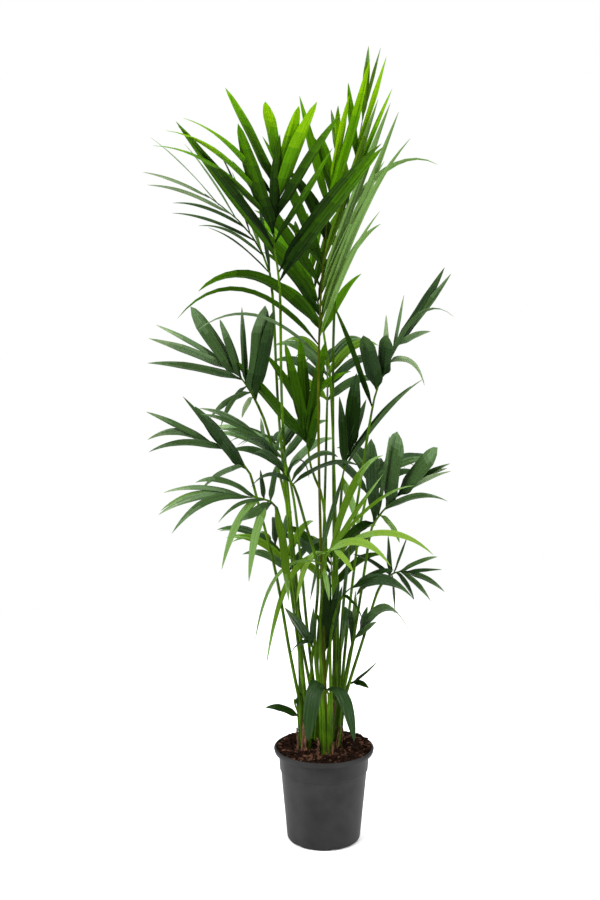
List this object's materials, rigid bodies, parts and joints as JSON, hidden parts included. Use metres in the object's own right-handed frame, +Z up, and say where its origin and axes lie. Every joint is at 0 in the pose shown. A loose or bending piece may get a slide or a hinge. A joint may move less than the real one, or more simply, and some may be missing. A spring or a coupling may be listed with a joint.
{
  "type": "potted kentia palm",
  "caption": "Tall indoor palm with arching feather fronds on slender stalks, rising from several short sheathed stems in a plain round nursery pot.",
  "frame": {"origin": "centre of the pot's flat underside, on the floor", "axes": "+Z up along the pot's axis; the plant's open front side looks along -Y, its right is +X"},
  "size_m": [0.7097, 0.8714, 1.8599],
  "materials": {
    "pot": "injection-moulded plastic, fine matt grain",
    "soil": "moist bark and peat substrate",
    "sheathed_stem": "stem wrapped in fibrous leaf bases",
    "leaf_stalk": "smooth green leaf stalk",
    "bright_blade": "thin satin leaf, yellowish green",
    "young_blade": "thin satin leaf, young light green",
    "dark_blade": "thin satin leaf, dark green with a grey bloom below"
  },
  "bodies": {
    "root": {"frond_arching_right": "dark_blade", "frond_back_high": "dark_blade", "frond_back_left": "dark_blade", "frond_back_low": "dark_blade", "frond_back_low_left": "dark_blade", "frond_back_mid": "dark_blade", "frond_back_right": "dark_blade", "frond_foot_front": "dark_blade", "frond_foot_left": "dark_blade", "frond_foot_right": "dark_blade", "frond_front_centre": "dark_blade", "frond_high_front": "bright_blade", "frond_high_left": "dark_blade", "frond_inner_back": "bright_blade", "frond_inner_right": "dark_blade", "frond_left_low": "dark_blade", "frond_left_mid": "dark_blade", "frond_left_wide": "dark_blade", "frond_right_high": "dark_blade", "frond_right_low": "dark_blade", "frond_right_mid": "dark_blade", "frond_small_centre": "dark_blade", "frond_small_left": "dark_blade", "frond_small_right": "dark_blade", "frond_tall_back": "dark_blade", "frond_tall_centre": "bright_blade", "frond_young_front": "young_blade", "pot": "pot", "soil": "soil", "stalk_arching_right": "leaf_stalk", "stalk_back_high": "leaf_stalk", "stalk_back_left": "leaf_stalk", "stalk_back_low": "leaf_stalk", "stalk_back_low_left": "leaf_stalk", "stalk_back_mid": "leaf_stalk", "stalk_back_right": "leaf_stalk", "stalk_front_centre": "leaf_stalk", "stalk_high_front": "leaf_stalk", "stalk_high_left": "leaf_stalk", "stalk_inner_back": "leaf_stalk", "stalk_inner_right": "leaf_stalk", "stalk_left_low": "leaf_stalk", "stalk_left_mid": "leaf_stalk", "stalk_left_wide": "leaf_stalk", "stalk_right_high": "leaf_stalk", "stalk_right_low": "leaf_stalk", "stalk_right_mid": "leaf_stalk", "stalk_tall_back": "leaf_stalk", "stalk_tall_centre": "leaf_stalk", "stalk_young_front": "leaf_stalk", "stem_back": "sheathed_stem", "stem_centre": "sheathed_stem", "stem_far": "sheathed_stem", "stem_left": "sheathed_stem", "stem_right": "sheathed_stem"}
  },
  "joints": []
}
